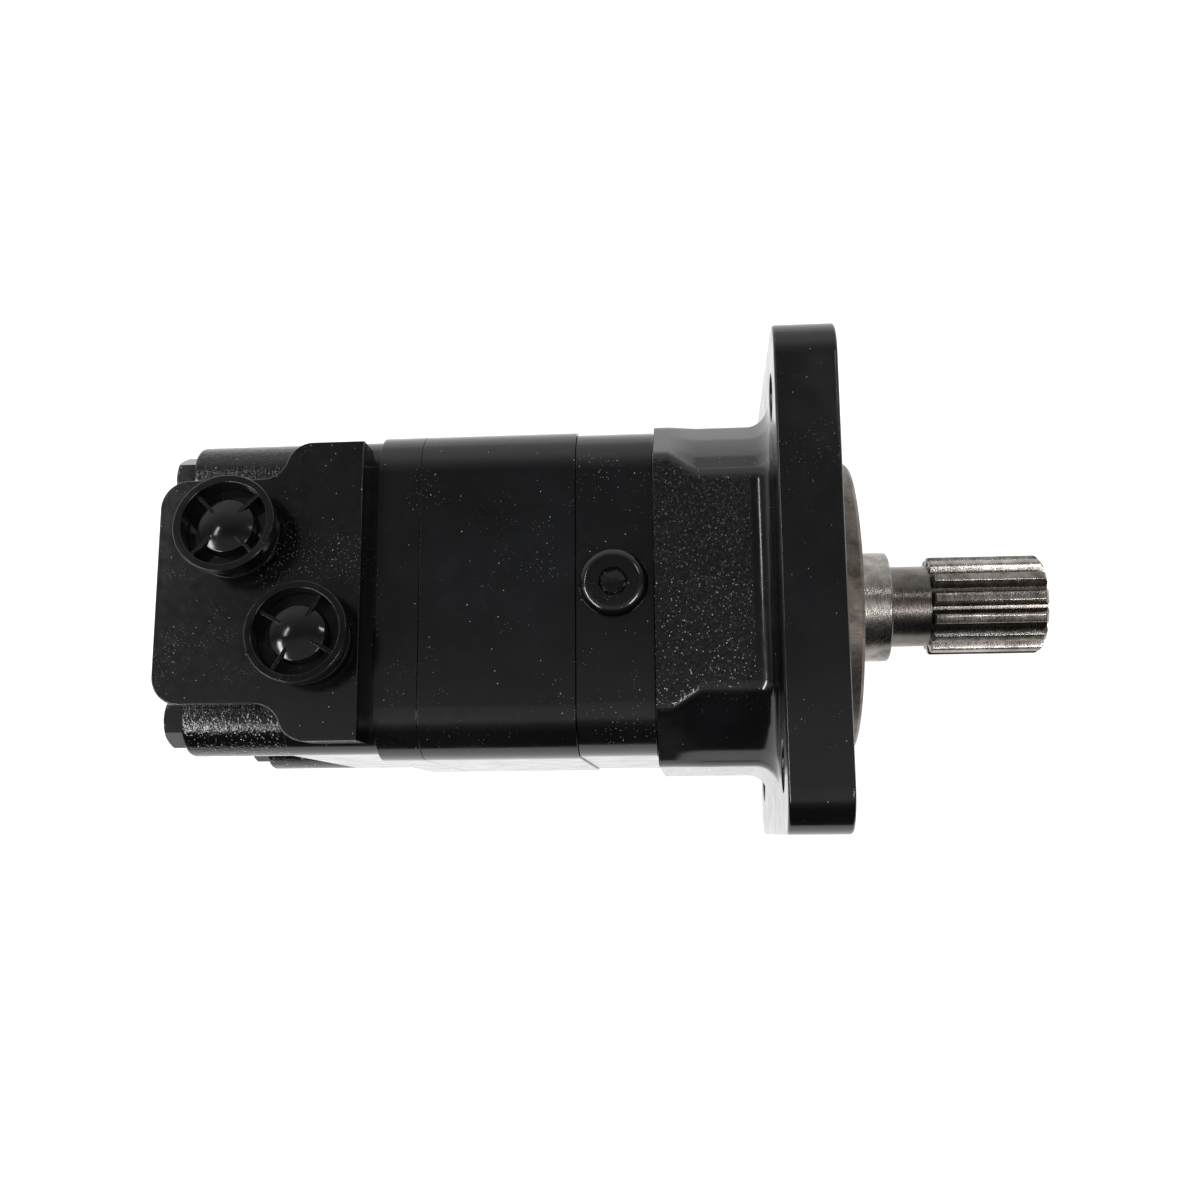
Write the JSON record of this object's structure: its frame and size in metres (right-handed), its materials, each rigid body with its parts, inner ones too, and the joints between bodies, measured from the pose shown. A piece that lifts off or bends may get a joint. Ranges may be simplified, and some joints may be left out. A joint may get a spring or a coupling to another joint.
{
  "type": "hydraulic motor",
  "caption": "Disc-valve orbital hydraulic motor with a square mounting flange, splined output shaft, side ports under transport caps and a drain plug.",
  "frame": {"origin": "where the shaft axis meets the face of the mounting flange", "axes": "+X along the shaft axis towards the splined end, +Z out of the port face, +Y completes a right-handed frame"},
  "size_m": [0.2714, 0.1464, 0.1464],
  "materials": {
    "black_paint": "gloss black paint over cast and machined iron",
    "painted_fastener": "black painted steel",
    "machined_steel": "bare machined steel, slightly oiled",
    "bearing_steel": "ground steel",
    "spring_steel": "dark spring wire",
    "black_plastic": "moulded black plastic",
    "seal_rubber": "black nitrile rubber"
  },
  "bodies": {
    "housing": {"front_housing": "black_paint", "dust_seal": "seal_rubber", "shaft_seal": "seal_rubber", "front_bearing_cup": "bearing_steel", "rear_bearing_cup": "bearing_steel", "spacer_plate": "black_paint", "drain_plug": "painted_fastener", "drain_plug_seal": "seal_rubber", "geroler_ring": "black_paint", "channel_plate": "black_paint", "valve_housing": "black_paint", "balance_ring": "bearing_steel", "balance_spring_1": "spring_steel", "balance_spring_2": "spring_steel", "balance_spring_3": "spring_steel", "balance_pin_1": "bearing_steel", "balance_pin_2": "bearing_steel", "front_seal": "seal_rubber", "spacer_seal": "seal_rubber", "ring_seal": "seal_rubber", "channel_seal": "seal_rubber", "tie_bolt_1": "painted_fastener", "tie_bolt_2": "painted_fastener", "tie_bolt_3": "painted_fastener", "tie_bolt_4": "painted_fastener"},
    "shaft": {"output_shaft": "machined_steel", "front_bearing_cone": "bearing_steel", "rear_bearing_cone": "bearing_steel", "shaft_nut": "machined_steel"},
    "front_cage": {"front_roller_cage": "bearing_steel"},
    "rear_cage": {"rear_roller_cage": "bearing_steel"},
    "orbit": {"drive_spacer": "machined_steel"},
    "rotor": {"rotor": "bearing_steel"},
    "main_drive": {"main_drive": "machined_steel"},
    "valve_drive": {"valve_drive": "machined_steel"},
    "disc_valve": {"disc_valve": "bearing_steel"},
    "port_cap_1": {"port_cap_1": "black_plastic"},
    "port_cap_2": {"port_cap_2": "black_plastic"},
    "roller_1": {"roller_1": "bearing_steel"},
    "roller_2": {"roller_2": "bearing_steel"},
    "roller_3": {"roller_3": "bearing_steel"},
    "roller_4": {"roller_4": "bearing_steel"},
    "roller_5": {"roller_5": "bearing_steel"},
    "roller_6": {"roller_6": "bearing_steel"},
    "roller_7": {"roller_7": "bearing_steel"}
  },
  "joints": [
    {"name": "shaft_spin", "type": "hinge", "parent": "housing", "child": "shaft", "pos_m": [0, 0, 0], "axis": [1, 0, 0], "continuous": true},
    {"name": "front_cage_spin", "type": "hinge", "parent": "housing", "child": "front_cage", "pos_m": [-0.016, 0, 0], "axis": [1, 0, 0], "continuous": true},
    {"name": "rear_cage_spin", "type": "hinge", "parent": "housing", "child": "rear_cage", "pos_m": [-0.038, 0, 0], "axis": [1, 0, 0], "continuous": true},
    {"name": "rotor_orbit", "type": "hinge", "parent": "housing", "child": "orbit", "pos_m": [-0.103, 0, 0], "axis": [1, 0, 0], "continuous": true},
    {"name": "rotor_turn", "type": "hinge", "parent": "orbit", "child": "rotor", "pos_m": [-0.1, 0.003, 0], "axis": [1, 0, 0], "continuous": true},
    {"name": "main_drive_turn", "type": "hinge", "parent": "orbit", "child": "main_drive", "pos_m": [-0.0425, 0, 0], "axis": [0.9982, -0.0605, 0], "continuous": true},
    {"name": "valve_drive_turn", "type": "hinge", "parent": "orbit", "child": "valve_drive", "pos_m": [-0.147, 0, 0], "axis": [0.9959, 0.0905, 0], "continuous": true},
    {"name": "disc_valve_spin", "type": "hinge", "parent": "housing", "child": "disc_valve", "pos_m": [-0.144, 0, 0], "axis": [1, 0, 0], "continuous": true},
    {"name": "roller_1_spin", "type": "hinge", "parent": "housing", "child": "roller_1", "pos_m": [-0.1, 0.034, 0], "axis": [1, 0, 0], "continuous": true},
    {"name": "roller_2_spin", "type": "hinge", "parent": "housing", "child": "roller_2", "pos_m": [-0.1, 0.0212, 0.02658], "axis": [1, 0, 0], "continuous": true},
    {"name": "roller_3_spin", "type": "hinge", "parent": "housing", "child": "roller_3", "pos_m": [-0.1, -0.00757, 0.03315], "axis": [1, 0, 0], "continuous": true},
    {"name": "roller_4_spin", "type": "hinge", "parent": "housing", "child": "roller_4", "pos_m": [-0.1, -0.03063, 0.01475], "axis": [1, 0, 0], "continuous": true},
    {"name": "roller_5_spin", "type": "hinge", "parent": "housing", "child": "roller_5", "pos_m": [-0.1, -0.03063, -0.01475], "axis": [1, 0, 0], "continuous": true},
    {"name": "roller_6_spin", "type": "hinge", "parent": "housing", "child": "roller_6", "pos_m": [-0.1, -0.00757, -0.03315], "axis": [1, 0, 0], "continuous": true},
    {"name": "roller_7_spin", "type": "hinge", "parent": "housing", "child": "roller_7", "pos_m": [-0.1, 0.0212, -0.02658], "axis": [1, 0, 0], "continuous": true},
    {"name": "port_cap_1_pull", "type": "slide", "parent": "housing", "child": "port_cap_1", "axis": [0, 0, 1], "range_m": [0, 0.025]},
    {"name": "port_cap_2_pull", "type": "slide", "parent": "housing", "child": "port_cap_2", "axis": [0, 0, 1], "range_m": [0, 0.025]}
  ],
  "couplings": [
    {"joint": "front_cage_spin", "follows": "shaft_spin", "ratio": 0.43},
    {"joint": "rear_cage_spin", "follows": "shaft_spin", "ratio": 0.43},
    {"joint": "rotor_orbit", "follows": "shaft_spin", "ratio": -6},
    {"joint": "rotor_turn", "follows": "shaft_spin", "ratio": 7},
    {"joint": "main_drive_turn", "follows": "shaft_spin", "ratio": 7},
    {"joint": "valve_drive_turn", "follows": "shaft_spin", "ratio": 7},
    {"joint": "disc_valve_spin", "follows": "shaft_spin", "ratio": 1},
    {"joint": "roller_1_spin", "follows": "shaft_spin", "ratio": -3},
    {"joint": "roller_2_spin", "follows": "shaft_spin", "ratio": -3},
    {"joint": "roller_3_spin", "follows": "shaft_spin", "ratio": -3},
    {"joint": "roller_4_spin", "follows": "shaft_spin", "ratio": -3},
    {"joint": "roller_5_spin", "follows": "shaft_spin", "ratio": -3},
    {"joint": "roller_6_spin", "follows": "shaft_spin", "ratio": -3},
    {"joint": "roller_7_spin", "follows": "shaft_spin", "ratio": -3}
  ]
}
